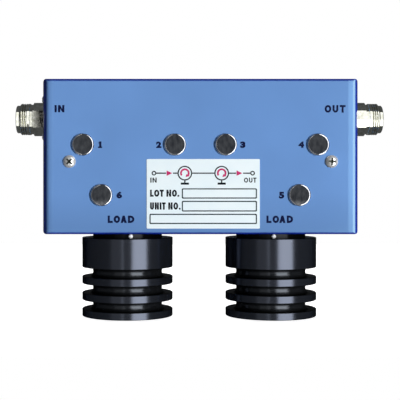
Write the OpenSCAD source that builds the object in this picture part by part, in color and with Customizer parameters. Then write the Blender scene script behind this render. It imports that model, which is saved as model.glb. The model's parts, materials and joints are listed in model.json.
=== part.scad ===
// Dual junction isolator: a blue sheet-metal housing with two coaxial ports on its sides, two
// finned terminations below it, and two ferrite junctions with six tuning capacitors inside.
// Millimetres. The terminations stand on Z = 0, the front faces -Y, the port axes lie in Y = 0.

/* [Housing] */
// Width of the housing
box_w = 154.7; // [140:0.1:190]
// Height of the housing
box_h = 76.2; // [70:0.1:95]
// Depth of the housing, back cover included
box_d = 38.1; // [32:0.1:50]
// Thickness of the housing walls
wall = 2.4; // [1.6:0.1:3]
// Outer radius of the two upright front edges
side_edge_r = 3.2; // [2:0.1:5]
// Outer radius of the top and bottom front edges
level_edge_r = 1.5; // [0.8:0.1:2]
// Corner radius of the front seen square on
corner_r = 2; // [1:0.1:4]
// Thickness of the back cover
cover_t = 2; // [1.6:0.1:3]

/* [Ports] */
// Height of the port axes above the housing floor
port_z = 57.5; // [54:0.1:60]
// Outer diameter of the jack's coupling thread
thread_d = 15.88; // [14:0.01:19]
// Length of the coupling thread
thread_len = 5.2; // [4:0.1:6]
// Step in radius from the thread out to the smooth barrel behind it
barrel_step = 0.53; // [0.3:0.01:1.5]
// Length of the jack from the back of its flange to its tip
jack_len = 19.05; // [17:0.1:22]
// Side of the square flange
flange_w = 25.4; // [24:0.1:28]
// Thickness of the flange
flange_t = 1.6; // [1.4:0.1:2.4]
// Distance between the flange's screw holes
flange_pitch = 18.26; // [18:0.01:20]
// Diameter of the socket bore in the jack's tip
socket_d = 8.1; // [7.6:0.1:8.6]

/* [Terminations] */
// Distance between the two termination axes
load_pitch = 72.8; // [70:0.1:90]
// Diameter of the fins
load_d = 45.9; // [38:0.1:56]
// Number of grooves below the plain band
groove_count = 3; // [2:1:3]
// Width of a groove
groove_w = 4.58; // [3:0.01:5.5]
// Thickness of a fin
fin_t = 3.62; // [3:0.01:5]
// Height of the plain band at the top
band_h = 14.95; // [12:0.05:18]
// Diameter of the core between the fins
core_d = 35; // [24:0.1:36]
// Diameter of the hub under the housing
hub_d = 35; // [32:0.1:42]
// Height of the hub under the housing
hub_h = 2.25; // [2.2:0.05:3.5]

/* [Tuning] */
// Diameter of the tuning holes in the front
tuning_hole_d = 9.5; // [7.9:0.1:11.4]
// Overhang of the plug heads past their holes
plug_lip = 0.75; // [0.5:0.05:1.5]
// Height of the plug heads
plug_h = 1.1; // [0.8:0.1:1.6]
// Distance between tuning holes 1 and 4
outer_pitch = 115.1; // [112:0.1:118]
// Distance between tuning holes 2 and 3
inner_pitch = 24.9; // [20:0.1:30]
// Distance between tuning holes 5 and 6
lower_pitch = 96.9; // [92:0.1:104]
// Height of the upper tuning holes above the housing floor
upper_row_z = 43.9; // [40:0.1:48]
// Height of the lower tuning holes above the housing floor
lower_row_z = 19.2; // [18:0.1:22]
// Number of moving plates in a tuning capacitor
rotor_plates = 4; // [3:1:4]

/* [Junctions] */
// Distance between the two junction centres
junction_pitch = 72; // [70:0.1:76]
// Diameter of the ferrite and magnet discs
disc_d = 25.4; // [22:0.1:27]
// Thickness of a ferrite disc
ferrite_t = 3; // [2:0.1:3.5]
// Thickness of a magnet disc
magnet_t = 5; // [3:0.1:6]
// Thickness of the steel yoke
yoke_t = 2.5; // [1.5:0.1:3]

/* [Front details] */
// Distance between the two front screws
front_screw_pitch = 128.2; // [127:0.1:134]
// Height of the front screws above the housing floor
front_screw_z = 35.6; // [34:0.1:38]
// Width of the rating label
label_w = 55.3; // [45:0.1:66]
// Height of the rating label
label_h = 34; // [25:0.1:36]
// Offset of the label to the right of the middle
label_x = 1.3; // [-3:0.1:3]
// Height of the label's lower edge above the housing floor
label_z = 2.8; // [2:0.1:5]

/* [Hidden] */
$fn = 64;
eps = 0.01;

// Places along the height
load_len = band_h + groove_count * (groove_w + fin_t);
box_z = load_len + hub_h;
port_height = box_z + port_z;
upper_row = box_z + upper_row_z;
lower_row = box_z + lower_row_z;
front_screw_height = box_z + front_screw_z;

// Places along the depth: the front and the inner faces of the front wall and back cover
front_y = -box_d / 2;
front_inner_y = front_y + wall;
back_y = box_d / 2;
back_inner_y = back_y - cover_t;

// Fits
slip = 0.1;
bolt_slip = 0.08;
shaft_fit = 0.05;
run_gap = 0.3;

// Screws: shank radius, head radius and head height
panel_screw = [1.55, 3.1, 1.9];
flange_screw = [1.25, 2.45, 1.5];
flange_flat_screw = [1.25, 2.5, 1.3];
cover_screw = [1.42, 2.7, 1.4];
plate_screw = [0.95, 1.9, 1.2];
lock_screw = [0.8, 1.05, 0.9];
standoff_flats = 6.35;
trimmer_nut_t = 2.2;
trimmer_nut_flats = 8;

// Tuning plug: sheet, rounding of its head, spring fingers and the slots between them
plug_sheet = 0.5;
shoulder_r = 0.85;
finger_t = 0.4;
finger_count = 6;
finger_slot = 1.2;

// Jack, along its own axis from the back of the flange
pilot_len = 1.7;
pilot_r = 7;
thread_r = thread_d / 2;
thread_chamfer = 0.5;
undercut_len = 1;
undercut_r = thread_r - 0.4;
barrel_r = thread_r + barrel_step;
boss_len = 4.6;
boss_r = 6.3;
socket_depth = 9.1;
socket_r = socket_d / 2;
dielectric_r = 3.5;
contact_r = 1.52;
contact_len = 4.9;
contact_bore_r = 0.85;
contact_waist_r = 1;
solder_tail_len = 6;
solder_tail_r = 1.25;
solder_flat_len = 5;

// Junction stack, forwards and backwards from the conductor's middle plane
foil_t = 0.6;
carrier_t = 2;
ground_plate_t = 1;
ground_plate_w = 32;
spacer_pitch = 27;
spacer_r = 2;
carrier_front_y = foil_t / 2 + ferrite_t;
carrier_back_y = carrier_front_y + carrier_t;
ground_plate_y = -foil_t / 2 - ferrite_t;
magnet_front_y = ground_plate_y - ground_plate_t;
yoke_front_y = magnet_front_y - magnet_t;
yoke_back_y = carrier_back_y + magnet_t;
yoke_w = 26;
yoke_gap = 2.5;
carrier_top = upper_row + ground_plate_w / 2 + 2;
carrier_bottom = box_z + 9;
carrier_w = front_screw_pitch + 8;
arm_reach = 17.5;
arm_w = 4;
solder_reach = arm_reach - arm_w / 2;
strap_w = 4;
strap_pad_r = 2.4;
strap_y = -foil_t / 2;

// Tuning capacitor, about its own axis
base_r = 6.2;
bushing_r = 2.8;
bushing_len = 5;
shaft_r = 1.5;
rotor_r = 5;
plate_t = 0.5;
post_r = rotor_r + 0.4;
post_t = 1;
stator_bore_r = shaft_r + 0.6;
plate_step = 2 * (plate_t + run_gap);
first_plate_y = strap_y - foil_t - 1.1;
tuner_head_gap = 5.4;
tuner_head_y = front_inner_y + tuner_head_gap;
tuner_head_t = 1.2;
tuner_head_r = 2.4;

// Termination: depths below the housing, and the parts in its bore
rim = 0.2;
root_flat = 0.3;
root_r = (groove_w - root_flat) / 2;
jack_reach = jack_len - flange_t - wall;
thread_bore_depth = jack_reach + 1.7;
barrel_bore_depth = jack_reach - thread_len - pilot_len;
contact_flange_t = 1.2;
sleeve_r = socket_r - 0.05;
sleeve_end_gap = 0.3;
bead_t = 4.5;
pin_r = 0.8;
resistor_r = 4.2;
resistor_len = 14;
wire_len = 0.5;

// Cover, lugs and mounting nuts
lug_w = 8;
lug_h = 7;
lug_d = 8;
lug_pitch = box_w - 2 * wall - 19.4;
mount_pitch_x = 112;
mount_pitch_z = box_h - 20;
mount_bore_r = 2.08;
mount_shank_r = 2.7;
mount_nut_r = 3.95;
mount_nut_len = 6.4;
mount_nut_end_t = 1;
label_t = 0.25;

// Tuning positions in the order of their numbers: [x, z, direction of the fixed plates, rotor angle]
tuners = [
    [-outer_pitch / 2, upper_row, 90, 140],
    [-inner_pitch / 2, upper_row, 90, 40],
    [inner_pitch / 2, upper_row, 90, 125],
    [outer_pitch / 2, upper_row, 90, 55],
    [lower_pitch / 2, lower_row, 180, 130],
    [-lower_pitch / 2, lower_row, 0, 20]
];
// Turn of each termination's lock screw from straight ahead
lock_screw_turn = [7.2, -1.4];

// Places a child that is drawn with +Z outwards on the front, a side port or below the housing
module on_front(x, z, depth = 0) {
    translate([x, front_y + depth, z]) rotate([90, 0, 0]) children();
}

module on_back(x, z, y = back_y) {
    translate([x, y, z]) rotate([-90, 0, 0]) children();
}

module at_port(side) {
    translate([side * box_w / 2, 0, port_height]) rotate([0, side * 90, 0]) children();
}

module at_load(side) {
    translate([side * load_pitch / 2, 0, box_z]) rotate([0, 180, 0]) children();
}

// The back of a jack's flange, which is clamped against the inside of the wall
module behind_wall() {
    translate([0, 0, -wall - flange_t]) children();
}

module at_junction(side) {
    translate([side * junction_pitch / 2, 0, upper_row]) children();
}

module at_tuner(i) {
    translate([tuners[i][0], 0, tuners[i][1]]) rotate([90, 0, 0]) children();
}

module square_pattern(pitch) {
    for (x = [-1, 1], y = [-1, 1]) translate([x * pitch / 2, y * pitch / 2, 0]) children();
}

module rounded_rect(w, h, r) {
    square([w - 2 * r, h], center = true);
    square([w, h - 2 * r], center = true);
    for (x = [-1, 1], y = [-1, 1]) translate([x * (w / 2 - r), y * (h / 2 - r)]) circle(r);
}

// A plate that stands across the depth, from y0 back to y1
module upright(y0, y1) {
    translate([0, y1, 0]) rotate([90, 0, 0]) linear_extrude(y1 - y0) children();
}

// Outline with its front (lower) corners rounded, from -half to half and from y0 to y1
module front_rounded(half, y0, y1, r) {
    translate([-half, y0 + r]) square([2 * half, y1 - y0 - r]);
    translate([-half + r, y0]) square([2 * half - 2 * r, r + eps]);
    for (x = [-1, 1]) translate([x * (half - r), y0 + r]) circle(r);
}

// Box with rounded front edges, grown inwards by inset on its five closed sides
module soft_box(inset, y_end) {
    half_w = box_w / 2 - inset;
    half_h = box_h / 2 - inset;
    y0 = front_y + inset;
    side_r = max(side_edge_r - inset, 0.4);
    level_r = max(level_edge_r - inset, 0.4);
    front_r = max(corner_r - inset, 0.4);
    translate([0, 0, box_z + box_h / 2]) intersection() {
        translate([0, 0, -half_h]) linear_extrude(2 * half_h)
            front_rounded(half_w, y0, y_end, side_r);
        rotate([90, 0, 90]) translate([0, 0, -half_w]) linear_extrude(2 * half_w)
            rotate(-90) front_rounded(half_h, y0, y_end, level_r);
        upright(y0, y_end) rounded_rect(2 * half_w, 2 * half_h, front_r);
    }
}

module pan_head(size) {
    dome_r = (size[1] * size[1] + size[2] * size[2]) / (2 * size[2]) * 1.15;
    intersection() {
        cylinder(r = size[1], h = size[2]);
        translate([0, 0, size[2] - dome_r]) sphere(dome_r, $fn = 96);
    }
}

module cross_recess(size) {
    slot = size[1] * 1.15;
    depth = size[2] * 0.6;
    translate([0, 0, size[2] - depth]) {
        for (a = [0, 90]) rotate(a) translate([-slot / 2, -size[1] * 0.13, 0])
            cube([slot, size[1] * 0.26, size[2]]);
        translate([0, 0, -depth * 0.4]) cylinder(r1 = size[1] * 0.08, r2 = size[1] * 0.3, h = depth * 0.9);
    }
}

// Cross-head screw with the underside of its head at Z = 0 and its shank below
module pan_screw(size, len) {
    difference() {
        pan_head(size);
        cross_recess(size);
    }
    translate([0, 0, -len]) cylinder(r = size[0], h = len + eps);
}

// Countersunk screw with the top of its head at Z = 0
module countersunk_screw(size, len) {
    slot_w = size[1] * 0.26;
    difference() {
        union() {
            translate([0, 0, -size[2]]) cylinder(r1 = size[0], r2 = size[1], h = size[2]);
            translate([0, 0, -len]) cylinder(r = size[0], h = len - size[2] + eps);
        }
        for (a = [0, 90]) rotate(a) translate([-size[1] * 0.6, -slot_w / 2, -size[2] * 0.6])
            cube([size[1] * 1.2, slot_w, size[2]]);
    }
}

module countersink(size, depth) {
    translate([0, 0, -size[2] - slip]) cylinder(r1 = size[0] + slip, r2 = size[1] + 2 * slip, h = size[2] + 2 * slip);
    translate([0, 0, -depth]) cylinder(r = size[0] + slip, h = depth);
}

module hex_nut(bore_r, flats, t) {
    difference() {
        cylinder(d = flats / cos(30), h = t, $fn = 6);
        translate([0, 0, -1]) cylinder(r = bore_r, h = t + 2);
    }
}

// Housing

module cover_lugs() {
    for (x = [-lug_pitch / 2, 0, lug_pitch / 2], top = [0, 1])
        translate([x - lug_w / 2, back_inner_y - lug_d,
                top ? box_z + box_h - wall - lug_h : box_z + wall - eps])
            cube([lug_w, lug_d, lug_h + eps]);
}

module at_cover_screws() {
    for (x = [-lug_pitch / 2, 0, lug_pitch / 2], z = [wall + lug_h / 2, box_h - wall - lug_h / 2])
        on_back(x, box_z + z) children();
}

module at_mounting_nuts() {
    for (x = [-1, 1], z = [-1, 1])
        on_back(x * mount_pitch_x / 2, box_z + box_h / 2 + z * mount_pitch_z / 2) children();
}

module housing() {
    color("cornflowerblue") difference() {
        union() {
            difference() {
                soft_box(0, back_inner_y);
                soft_box(wall, back_inner_y + 1);
            }
            cover_lugs();
        }
        for (t = tuners) on_front(t[0], t[1], wall + 1) cylinder(d = tuning_hole_d, h = wall + 2);
        for (x = [-1, 1]) on_front(x * front_screw_pitch / 2, front_screw_height, wall + 1)
            cylinder(r = panel_screw[0] + slip, h = wall + 2);
        for (side = [-1, 1]) {
            at_port(side) port_panel_holes();
            at_load(side) load_panel_holes();
        }
        at_cover_screws() translate([0, 0, -cover_t - lug_d + 1])
            cylinder(r = cover_screw[0] + bolt_slip, h = lug_d + 1);
    }
}

module barrel_hole() {
    translate([0, 0, -wall - 1]) cylinder(r = barrel_r + slip, h = wall + 2);
}

module port_panel_holes() {
    barrel_hole();
    translate([0, 0, -wall - 1]) square_pattern(flange_pitch)
        cylinder(r = flange_screw[0] + slip, h = wall + 2);
}

module load_panel_holes() {
    barrel_hole();
    square_pattern(flange_pitch) countersink(flange_flat_screw, wall + 1);
}

module back_cover() {
    color("gainsboro") difference() {
        upright(back_inner_y, back_y) translate([0, box_z + box_h / 2])
            rounded_rect(box_w, box_h, corner_r);
        at_cover_screws() countersink(cover_screw, cover_t + 1);
        at_mounting_nuts() translate([0, 0, -cover_t - 1]) cylinder(r = mount_shank_r, h = cover_t + 2);
    }
}

module back_cover_screws() {
    color("silver") at_cover_screws() countersunk_screw(cover_screw, cover_t + lug_d - 3);
}

// Blind clinch nuts with their shank flush in the cover and their closed body inside
module mounting_nuts() {
    bore_depth = cover_t + mount_nut_len - mount_nut_end_t;
    color("silver") at_mounting_nuts() difference() {
        union() {
            translate([0, 0, -cover_t - eps]) cylinder(r = mount_shank_r, h = cover_t + eps);
            translate([0, 0, -cover_t - mount_nut_len]) cylinder(r = mount_nut_r, h = mount_nut_len);
        }
        translate([0, 0, -bore_depth]) cylinder(r = mount_bore_r, h = bore_depth + 1);
    }
}

module rating_label() {
    color("azure") upright(front_y - label_t, front_y)
        translate([label_x, box_z + label_z + label_h / 2]) rounded_rect(label_w, label_h, 0.4);
}

// Tuning plugs: pressed from sheet, with spring fingers behind the panel

module plug_section() {
    hole_r = tuning_hole_d / 2;
    r = hole_r + plug_lip;
    finger_r = hole_r - slip;
    intersection() {
        square([r, plug_h]);
        union() {
            square([r - shoulder_r, plug_h]);
            square([r, plug_h - shoulder_r]);
            translate([r - shoulder_r, plug_h - shoulder_r]) circle(shoulder_r);
        }
    }
    polygon([
        [finger_r - finger_t, eps], [finger_r - finger_t, -wall], [hole_r - finger_t, -wall - 0.6],
        [finger_r - finger_t, -wall - 1.2], [finger_r - 0.7, -wall - 2.2],
        [finger_r - 0.3, -wall - 2.2], [finger_r, -wall - 1.2], [hole_r + 0.25, -wall - 0.6],
        [finger_r, -wall - slip], [finger_r, eps]
    ]);
}

module tuning_plug(i) {
    r = tuning_hole_d / 2 + plug_lip;
    color("gray") on_front(tuners[i][0], tuners[i][1]) difference() {
        rotate_extrude($fn = 96) difference() {
            intersection() {
                plug_section();
                translate([0, -wall - 3]) square([r, wall + 3 + plug_h]);
            }
            translate([-1, -1]) square([tuning_hole_d / 2 - slip - finger_t + 1, plug_h - plug_sheet + 1]);
        }
        for (a = [0 : 360 / finger_count : 179]) rotate(a)
            translate([-r, -finger_slot / 2, -wall - 3]) cube([2 * r, finger_slot, wall + 2.8]);
    }
}

// Front screws, standoffs and the plate that carries the junctions

module front_screws() {
    color("whitesmoke") for (x = [-1, 1]) on_front(x * front_screw_pitch / 2, front_screw_height)
        rotate(x * 20 - 25) pan_screw(panel_screw, wall + 7);
}

module standoffs() {
    color("silver") for (x = [-1, 1]) translate([x * front_screw_pitch / 2, front_inner_y, front_screw_height])
        rotate([-90, 0, 0]) hex_nut(panel_screw[0] + bolt_slip, standoff_flats, carrier_front_y - front_inner_y);
}

module carrier_plate() {
    color("lightgray") difference() {
        upright(carrier_front_y, carrier_back_y)
            translate([0, (carrier_top + carrier_bottom) / 2])
                rounded_rect(carrier_w, carrier_top - carrier_bottom, 3);
        for (x = [-1, 1]) on_back(x * front_screw_pitch / 2, front_screw_height, carrier_front_y - 1)
            cylinder(r = panel_screw[0] + slip, h = carrier_t + 2);
        for (i = [0 : 5]) on_back(tuners[i][0], tuners[i][1], carrier_front_y - 1)
            cylinder(r = bushing_r + slip, h = carrier_t + 2);
        for (side = [-1, 1]) at_junction(side) rotate([90, 0, 0])
            translate([0, 0, -carrier_back_y - 1]) square_pattern(spacer_pitch)
                cylinder(r = plate_screw[0] + bolt_slip, h = carrier_t + 2);
    }
}

module carrier_screws() {
    color("silver") for (x = [-1, 1]) on_back(x * front_screw_pitch / 2, front_screw_height, carrier_back_y)
        pan_screw(panel_screw, carrier_t + 6);
}

// Coaxial jacks, drawn along +Z from the back of the flange

module jack_outline() {
    rear = jack_len - pilot_len - thread_len - undercut_len;
    top = jack_len - pilot_len;
    polygon([
        [0, -boss_len], [boss_r, -boss_len], [boss_r, 0], [boss_r + 1, 0], [boss_r + 1, flange_t],
        [barrel_r, flange_t], [barrel_r, rear - 1], [undercut_r, rear], [undercut_r, rear + undercut_len - 0.3],
        [thread_r, rear + undercut_len], [thread_r, top - thread_chamfer],
        [pilot_r, top], [pilot_r, jack_len - 0.3], [pilot_r - 0.3, jack_len], [0, jack_len]
    ]);
}

module jack_shell() {
    color("lightgoldenrodyellow") difference() {
        union() {
            rotate_extrude($fn = 96) jack_outline();
            linear_extrude(flange_t) rounded_rect(flange_w, flange_w, 1.5);
        }
        translate([0, 0, -boss_len - 1]) cylinder(r = dielectric_r, h = jack_len + boss_len);
        translate([0, 0, jack_len - socket_depth]) cylinder(r = socket_r, h = socket_depth + 1);
        translate([0, 0, jack_len - 0.4]) cylinder(r1 = socket_r, r2 = socket_r + 0.5, h = 0.5);
        translate([0, 0, -1]) square_pattern(flange_pitch) cylinder(r = flange_screw[0] + bolt_slip, h = flange_t + 2);
    }
}

module jack_insulator() {
    len = jack_len - socket_depth + boss_len;
    color("white") translate([0, 0, -boss_len]) difference() {
        cylinder(r = dielectric_r, h = len);
        translate([0, 0, -1]) cylinder(r = contact_waist_r, h = len + 2);
    }
}

// Socket contact with four spring fingers in front and a half-flat solder tail behind
module jack_contact() {
    seat = jack_len - socket_depth;
    tail = boss_len + solder_tail_len;
    color("gold") difference() {
        union() {
            translate([0, 0, seat]) cylinder(r = contact_r, h = contact_len);
            translate([0, 0, -boss_len - eps]) cylinder(r = contact_waist_r, h = seat + boss_len + 2 * eps);
            translate([0, 0, -tail]) cylinder(r = solder_tail_r, h = solder_tail_len);
        }
        translate([0, 0, seat + 0.5]) cylinder(r = contact_bore_r, h = contact_len);
        for (a = [0, 90]) rotate(a) translate([-2, -0.17, seat + 1.4]) cube([4, 0.34, contact_len]);
        translate([-2, -foil_t / 2 - 2, -tail - 1]) cube([4, 2, solder_flat_len + 1]);
    }
}

// All four jacks: the two ports and the two that carry the terminations
module at_jacks() {
    for (side = [-1, 1]) {
        at_port(side) behind_wall() children();
        at_load(side) behind_wall() children();
    }
}

module jack_insulators() {
    at_jacks() jack_insulator();
}

module jack_contacts() {
    at_jacks() jack_contact();
}

module jack_flange_screws() {
    color("silver") for (side = [-1, 1]) at_port(side) square_pattern(flange_pitch)
        pan_screw(flange_screw, wall + flange_t + 1);
}

module load_jack_screws() {
    color("silver") for (side = [-1, 1]) at_load(side) square_pattern(flange_pitch)
        countersunk_screw(flange_flat_screw, wall + flange_t + 1);
}

// Terminations, drawn along +Z downwards from the housing floor

module sink_section() {
    r = load_d / 2;
    difference() {
        union() {
            square([hub_d / 2, hub_h + 1]);
            translate([0, hub_h]) square([core_d / 2, load_len]);
            chamfered_disc(r, hub_h, band_h);
            for (k = [0 : groove_count - 1]) translate([0, hub_h + band_h + k * (groove_w + fin_t)]) {
                groove_root();
                chamfered_disc(r, groove_w, fin_t);
            }
        }
        translate([-1, -1]) square([barrel_r + slip + 1, barrel_bore_depth + 1]);
        translate([-1, -1]) square([thread_r + slip + 1, thread_bore_depth + 1]);
        translate([-1, -1]) square([resistor_r + slip + 1, thread_bore_depth + wire_len + resistor_len + 1]);
    }
}

// Fillets between a groove's floor and its two sides
module groove_root() {
    for (edge = [0, 1]) translate([core_d / 2, edge * groove_w]) mirror([0, edge])
        translate([-eps, -eps]) difference() {
            square(root_r + eps);
            translate([root_r + eps, root_r + eps]) circle(root_r);
        }
}

module chamfered_disc(r, start, t) {
    polygon([
        [0, start], [r - rim, start], [r, start + rim],
        [r, start + t - rim], [r - rim, start + t], [0, start + t]
    ]);
}

module at_lock_screw(side) {
    turn = lock_screw_turn[side < 0 ? 0 : 1];
    translate([side * load_pitch / 2, 0, box_z - hub_h / 2]) rotate([90, 0, turn])
        translate([0, 0, hub_d / 2]) children();
}

module heat_sink(side) {
    color("#1c1d20") difference() {
        at_load(side) rotate_extrude($fn = 128) sink_section();
        at_lock_screw(side) translate([0, 0, -hub_d / 2 + barrel_r - 1])
            cylinder(r = lock_screw[0] + bolt_slip, h = hub_d / 2);
    }
}

module load_lock_screws() {
    reach = hub_d / 2 - barrel_r - slip;
    color("whitesmoke") for (side = [-1, 1]) at_lock_screw(side) difference() {
        union() {
            pan_head(lock_screw);
            translate([0, 0, -reach]) cylinder(r = lock_screw[0], h = reach + eps);
        }
        translate([-2, -0.14, lock_screw[2] * 0.55]) cube([4, 0.28, 1]);
    }
}

// Sleeve that enters the jack's socket, on a flange that seats on the bottom of the threaded bore
module outer_contact() {
    seat = thread_bore_depth - contact_flange_t;
    tip = jack_reach - socket_depth + sleeve_end_gap;
    color("silver") difference() {
        union() {
            translate([0, 0, tip]) cylinder(r = sleeve_r, h = seat - tip + eps);
            translate([0, 0, seat]) cylinder(r = thread_r, h = contact_flange_t);
        }
        cylinder(r = dielectric_r, h = thread_bore_depth + 1);
    }
}

module load_pin() {
    tip = jack_reach - socket_depth + contact_len - 3.5;
    color("gold") {
        translate([0, 0, tip + 0.5]) cylinder(r = pin_r, h = thread_bore_depth - tip - 0.5 + eps);
        translate([0, 0, tip]) cylinder(r1 = pin_r * 0.4, r2 = pin_r, h = 0.5 + eps);
        translate([0, 0, thread_bore_depth]) cylinder(r = 1.5, h = wire_len);
    }
}

module load_bead() {
    color("white") translate([0, 0, thread_bore_depth - bead_t]) difference() {
        cylinder(r = dielectric_r, h = bead_t);
        translate([0, 0, -1]) cylinder(r = pin_r, h = bead_t + 2);
    }
}

module load_resistor() {
    color("linen") translate([0, 0, thread_bore_depth + wire_len]) cylinder(r = resistor_r, h = resistor_len);
}

module load_outer_contacts() {
    for (side = [-1, 1]) at_load(side) outer_contact();
}

module load_pins() {
    for (side = [-1, 1]) at_load(side) load_pin();
}

module load_beads() {
    for (side = [-1, 1]) at_load(side) load_bead();
}

module load_resistors() {
    for (side = [-1, 1]) at_load(side) load_resistor();
}

// Ferrite junctions

module disc_between(side, y0, y1, r) {
    at_junction(side) translate([0, y1, 0]) rotate([90, 0, 0]) cylinder(r = r, h = y1 - y0, $fn = 96);
}

module magnets(side) {
    color("slategray") {
        disc_between(side, yoke_front_y, magnet_front_y, disc_d / 2);
        disc_between(side, carrier_back_y, yoke_back_y, disc_d / 2);
    }
}

module ferrites(side) {
    color("dimgray") {
        disc_between(side, ground_plate_y, -foil_t / 2, disc_d / 2);
        disc_between(side, foil_t / 2, carrier_front_y, disc_d / 2);
    }
}

// Disc with three arms 120 degrees apart, in the plane of the port axes
module center_conductor(side) {
    color("peru") at_junction(side) upright(-foil_t / 2, foil_t / 2) {
        circle(disc_d / 2 - 1.2);
        for (a = [30, 150, 270]) rotate(a) translate([0, -arm_w / 2]) square([arm_reach, arm_w]);
    }
}

module ground_plate(side) {
    color("goldenrod") difference() {
        at_junction(side) upright(ground_plate_y - ground_plate_t, ground_plate_y)
            rounded_rect(ground_plate_w, ground_plate_w, 2);
        at_spacers(side) translate([0, 0, -1]) cylinder(r = plate_screw[0] + bolt_slip, h = ground_plate_t + 2);
    }
}

module at_spacers(side) {
    at_junction(side) rotate([90, 0, 0]) translate([0, 0, -ground_plate_y])
        square_pattern(spacer_pitch) children();
}

module ground_plate_spacers() {
    len = carrier_front_y - ground_plate_y;
    color("silver") for (side = [-1, 1]) at_spacers(side) translate([0, 0, -len]) difference() {
        cylinder(r = spacer_r, h = len);
        translate([0, 0, -1]) cylinder(r = plate_screw[0] + bolt_slip, h = len + 2);
    }
}

module ground_plate_screws() {
    len = ground_plate_t + carrier_back_y - ground_plate_y;
    color("silver") for (side = [-1, 1]) at_spacers(side) translate([0, 0, ground_plate_t])
        pan_screw(plate_screw, len);
}

// Steel strip folded round the magnets and over the top of the carrier plate
module yoke(side) {
    leg_bottom = -disc_d / 2;
    web_bottom = carrier_top - upper_row + yoke_gap / 2;
    web_top = web_bottom + yoke_t;
    color("gray") at_junction(side) difference() {
        translate([-yoke_w / 2, yoke_front_y - yoke_t, leg_bottom])
            cube([yoke_w, yoke_back_y - yoke_front_y + 2 * yoke_t, web_top - leg_bottom]);
        translate([-yoke_w / 2 - 1, yoke_front_y, leg_bottom - 1])
            cube([yoke_w + 2, yoke_back_y - yoke_front_y, web_bottom - leg_bottom + 1]);
        for (y = [yoke_front_y - yoke_t, yoke_back_y + yoke_t]) translate([0, y, web_top])
            rotate([0, 90, 0]) fold_relief(y < 0 ? 1 : -1);
    }
}

// Takes the square corner off a fold, leaving a radius of the yoke's own thickness
module fold_relief(dir) {
    r = yoke_t;
    translate([0, 0, -yoke_w / 2 - 1]) difference() {
        translate([-1, dir > 0 ? -1 : -r, 0]) cube([r + 1, r + 1, yoke_w + 2]);
        translate([r, dir * r, -1]) cylinder(r = r, h = yoke_w + 4);
    }
}

// Copper straps with round pads, laid on the front of the conductor arms and the capacitor bases

module strap_run(points) {
    for (i = [0 : len(points) - 2]) {
        step = points[i + 1] - points[i];
        translate(points[i]) rotate(atan2(step[1], step[0]))
            translate([0, -strap_w / 2]) square([norm(step), strap_w]);
    }
    for (p = points) translate(p) circle(strap_pad_r);
}

module strap(points) {
    color("peru") upright(strap_y - foil_t, strap_y) strap_run(points);
}

function arm_end(side, a) =
    [side * junction_pitch / 2, upper_row] + solder_reach * [cos(a), sin(a)];
function stator_foot(i) =
    [tuners[i][0], tuners[i][1]] + (post_r + post_t / 2) * [cos(tuners[i][2]), sin(tuners[i][2])];

module port_strap() {
    tail_x = -box_w / 2 + wall + flange_t + boss_len + solder_tail_len - strap_pad_r;
    strap([arm_end(-1, 150), stator_foot(0), [tail_x, port_height]]);
}

module in_strap() {
    port_strap();
}

module out_strap() {
    mirror([1, 0, 0]) port_strap();
}

module interstage_strap() {
    strap([arm_end(-1, 30), stator_foot(1), stator_foot(2), arm_end(1, 150)]);
}

module load_strap() {
    arm = arm_end(-1, 270);
    tail = [-load_pitch / 2, box_z + wall + flange_t + boss_len + solder_tail_len - strap_pad_r];
    foot = stator_foot(5);
    strap([arm, [tail[0], foot[1]], tail]);
    strap([foot, [tail[0], foot[1]]]);
}

module right_load_strap() {
    mirror([1, 0, 0]) load_strap();
}

// Tuning capacitors, drawn along +Z towards the front

module trimmer_bases() {
    color("ivory") for (i = [0 : 5]) at_tuner(i) difference() {
        union() {
            translate([0, 0, -carrier_front_y]) cylinder(r = base_r, h = carrier_front_y - strap_y);
            translate([0, 0, -carrier_front_y - bushing_len]) cylinder(r = bushing_r, h = bushing_len + eps);
        }
        translate([0, 0, -carrier_front_y - bushing_len + 1]) cylinder(r = shaft_r + shaft_fit, h = bushing_len + 20);
    }
}

module trimmer_nuts() {
    color("silver") for (i = [0 : 5]) at_tuner(i) translate([0, 0, -carrier_back_y - trimmer_nut_t])
        hex_nut(bushing_r + slip, trimmer_nut_flats, trimmer_nut_t);
}

module half_ring(inner, outer, a) {
    difference() {
        circle(outer);
        circle(inner);
        rotate(a) translate([-2 * outer, -2 * outer]) square([2 * outer, 4 * outer]);
    }
}

module trimmer_stators() {
    stack = rotor_plates * plate_step + plate_t;
    foot = -strap_y + foil_t;
    color("khaki") for (i = [0 : 5]) at_tuner(i) {
        a = tuners[i][2];
        translate([0, 0, foot]) linear_extrude(-first_plate_y - foot + stack) intersection() {
            half_ring(post_r, post_r + post_t, a);
            rotate(a) translate([0, -2]) square([2 * post_r, 4]);
        }
        for (k = [0 : rotor_plates - 1])
            translate([0, 0, -first_plate_y + plate_t + run_gap + k * plate_step])
                linear_extrude(plate_t) {
                    half_ring(stator_bore_r, rotor_r, a);
                    rotate(a) translate([rotor_r - 1, -2]) square([1.5, 4]);
                }
    }
}

module trimmer_rotor(i) {
    tail = carrier_front_y + bushing_len - 2;
    color("darkgoldenrod") at_tuner(i) difference() {
        union() {
            translate([0, 0, -tail]) cylinder(r = shaft_r, h = tail - tuner_head_y);
            translate([0, 0, -strap_y + run_gap]) cylinder(r = tuner_head_r, h = plate_t);
            translate([0, 0, -tuner_head_y - tuner_head_t]) cylinder(r = tuner_head_r, h = tuner_head_t);
            for (k = [0 : rotor_plates - 1]) translate([0, 0, -first_plate_y + k * plate_step])
                linear_extrude(plate_t) half_ring(shaft_r - 0.5, rotor_r, tuners[i][3]);
        }
        translate([-tuner_head_r - 1, -0.4, -tuner_head_y - 0.8]) cube([2 * tuner_head_r + 2, 0.8, 2]);
    }
}

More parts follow.
